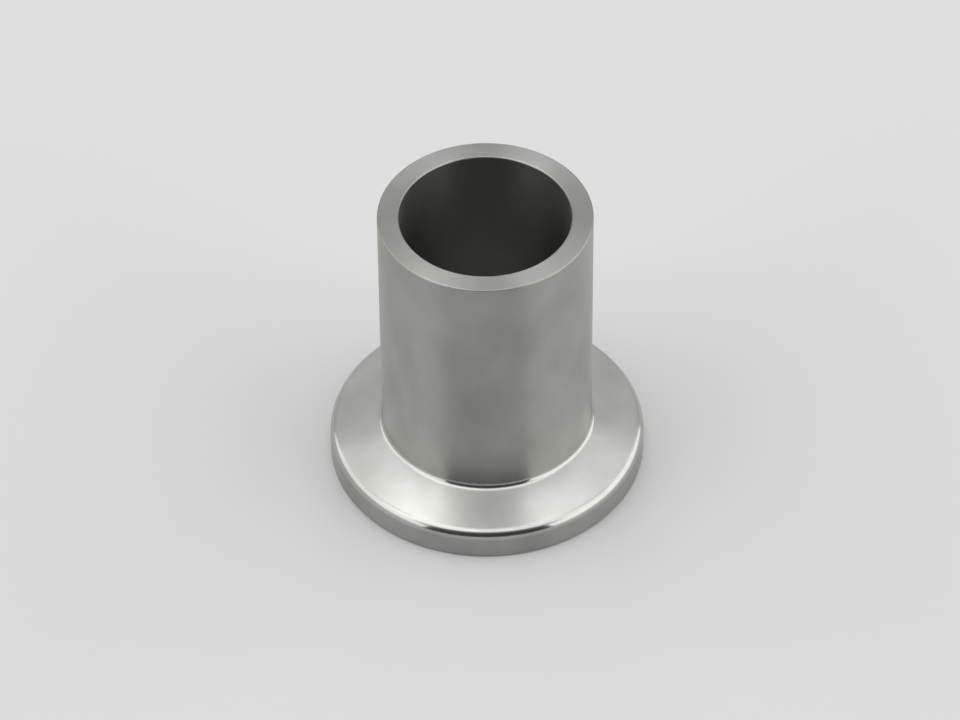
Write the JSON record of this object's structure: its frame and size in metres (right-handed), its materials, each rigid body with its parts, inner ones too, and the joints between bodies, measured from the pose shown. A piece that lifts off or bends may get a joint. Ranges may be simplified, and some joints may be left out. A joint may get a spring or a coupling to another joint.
{
  "type": "vacuum weld flange",
  "caption": "Small quick-clamp vacuum flange with a long plain tube for butt welding, a clamping taper, a centring recess and a straight through bore.",
  "frame": {"origin": "centre of the sealing face, on the centre line of the bore", "axes": "+Z along the bore from the sealing face to the weld end; X and Y are free, because the part is round"},
  "size_m": [0.03, 0.03, 0.03],
  "materials": {
    "stainless_steel": "fine turned finish, satin"
  },
  "bodies": {
    "root": {"weld_flange": "stainless_steel"}
  },
  "joints": []
}
